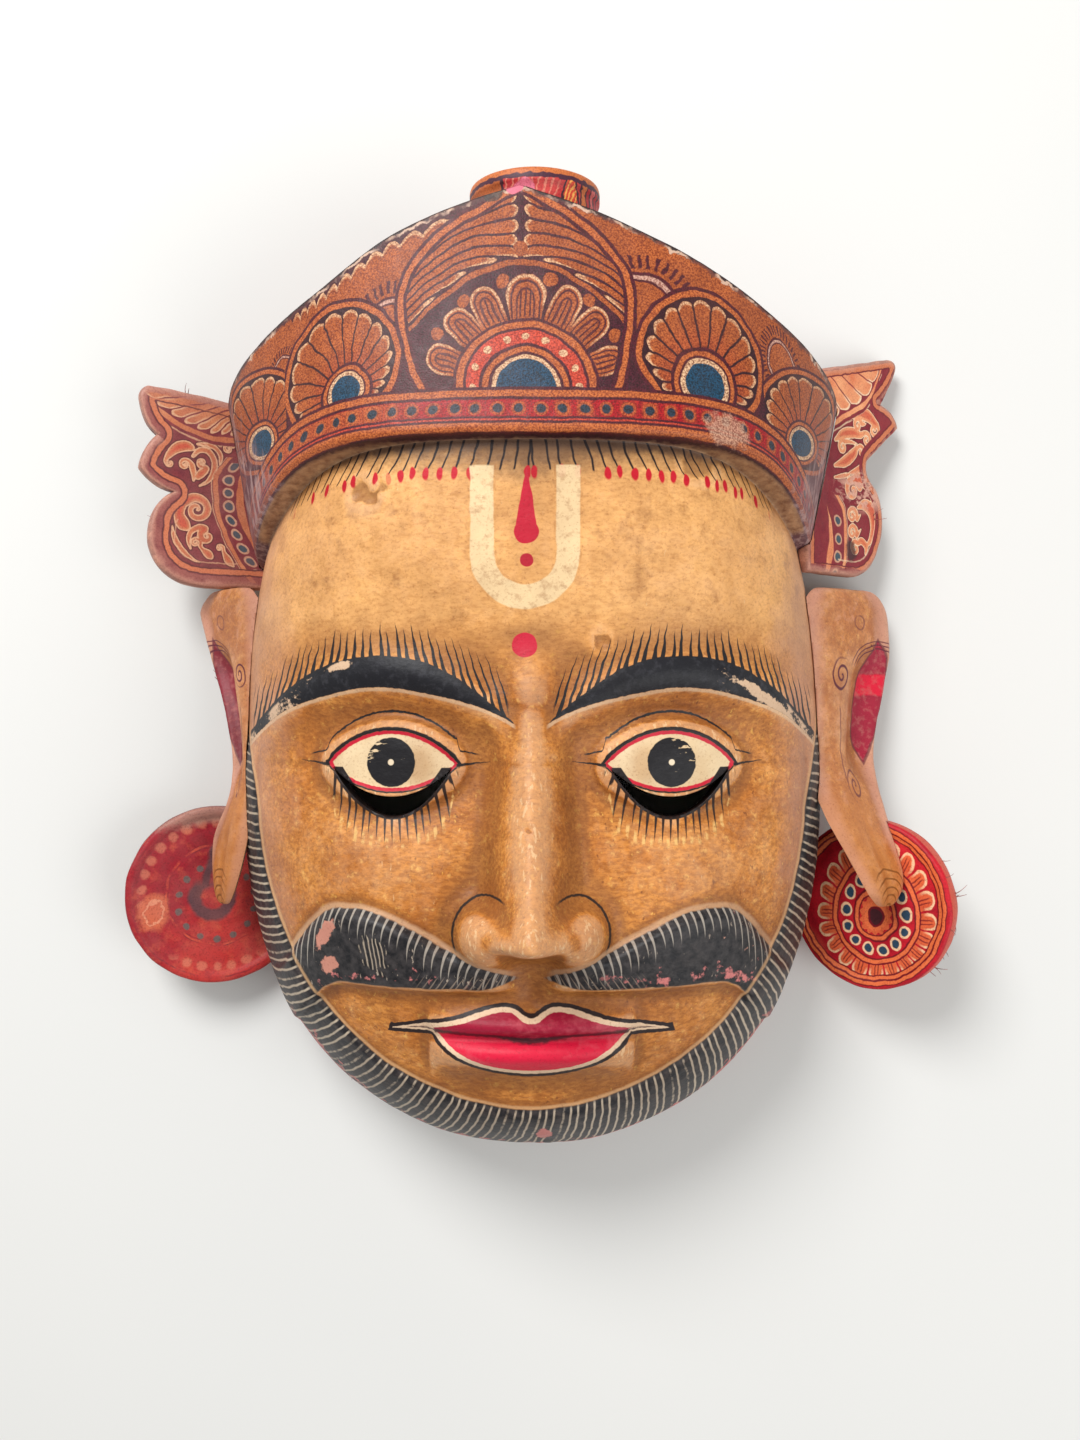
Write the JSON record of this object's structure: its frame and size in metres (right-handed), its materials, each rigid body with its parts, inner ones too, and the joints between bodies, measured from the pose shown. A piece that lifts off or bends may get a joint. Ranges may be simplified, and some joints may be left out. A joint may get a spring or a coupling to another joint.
{
  "type": "theatre mask",
  "caption": "Painted papier-mache theatre mask of a crowned, bearded king, a hollow shell with viewing slits, leaf-shaped side ornaments, long-lobed ears and disc earrings.",
  "frame": {"origin": "centre of the bounding box's base, on the plane that the open back lies on", "axes": "+X to the viewer's right, +Y from the chin to the crown, +Z out of the face"},
  "size_m": [0.294, 0.322, 0.1204],
  "materials": {
    "skin_paint": "hand-painted ochre over papier-mache, satin, stained and worn",
    "crown_paint": "hand-painted orange and maroon ornament, satin, worn",
    "earring_paint": "hand-painted scarlet with orange petals, satin"
  },
  "bodies": {
    "root": {"mask_shell": "skin_paint", "crest_drum": "crown_paint", "ear_left": "skin_paint", "ear_right": "skin_paint", "side_ornament_left": "crown_paint", "side_ornament_right": "crown_paint", "earring_left": "earring_paint", "earring_right": "earring_paint"}
  },
  "joints": []
}
